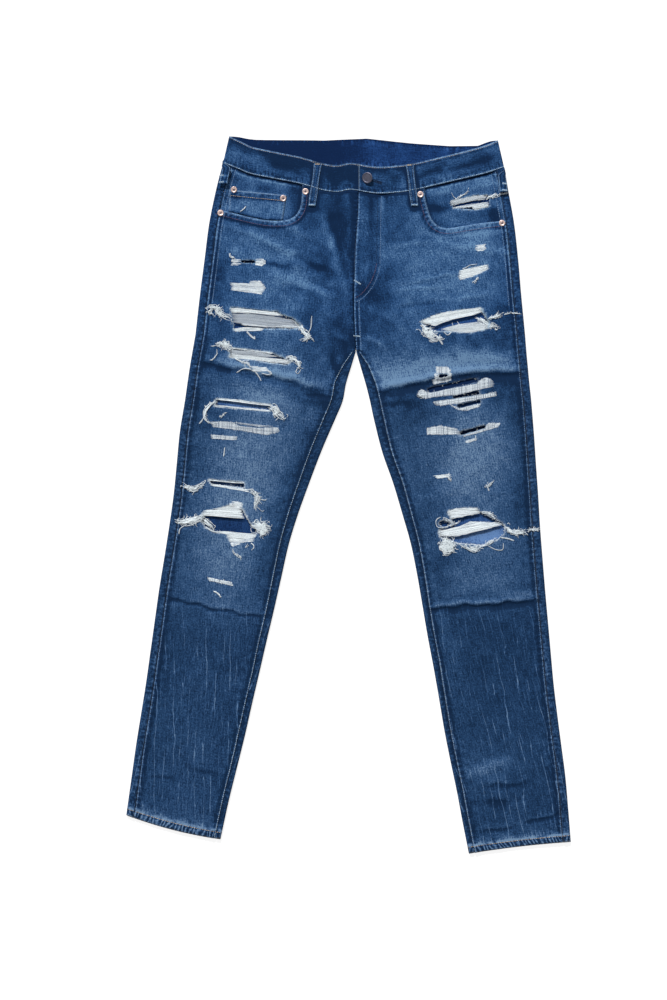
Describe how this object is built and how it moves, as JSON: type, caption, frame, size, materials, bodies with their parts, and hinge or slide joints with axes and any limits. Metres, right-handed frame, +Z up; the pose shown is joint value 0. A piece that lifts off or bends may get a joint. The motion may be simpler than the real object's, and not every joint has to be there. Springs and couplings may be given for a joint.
{
  "type": "ripped slim jeans",
  "caption": "Slim denim jeans laid flat, front up, with torn and frayed openings across the thighs and knees and a buttoned waistband.",
  "frame": {"origin": "centre of the garment's outline, on the surface it lies on", "axes": "+Y towards the waist, +X towards the wearer's left, +Z up out of the front"},
  "size_m": [0.711, 1.1468, 0.0139],
  "materials": {
    "denim": "mid blue washed denim, faded at the thighs",
    "rivet_metal": "aged copper",
    "button_metal": "dark pewter",
    "zip": "tape with plain metal teeth"
  },
  "bodies": {
    "root": {"belt_loop_1": "denim", "belt_loop_2": "denim", "belt_loop_3": "denim", "belt_loop_4": "denim", "belt_loop_5": "denim", "coin_pocket": "denim", "fly_shield": "denim", "left_back": "denim", "left_back_pocket": "denim", "left_front": "denim", "left_pocket_facing": "denim", "left_yoke": "denim", "right_back": "denim", "right_back_pocket": "denim", "right_front": "denim", "right_pocket_facing": "denim", "right_yoke": "denim", "waistband": "denim", "fly_zip": "zip", "rivet_1": "rivet_metal", "rivet_2": "rivet_metal", "rivet_3": "rivet_metal", "rivet_4": "rivet_metal", "rivet_5": "rivet_metal", "rivet_6": "rivet_metal", "waist_button": "button_metal"}
  },
  "joints": []
}
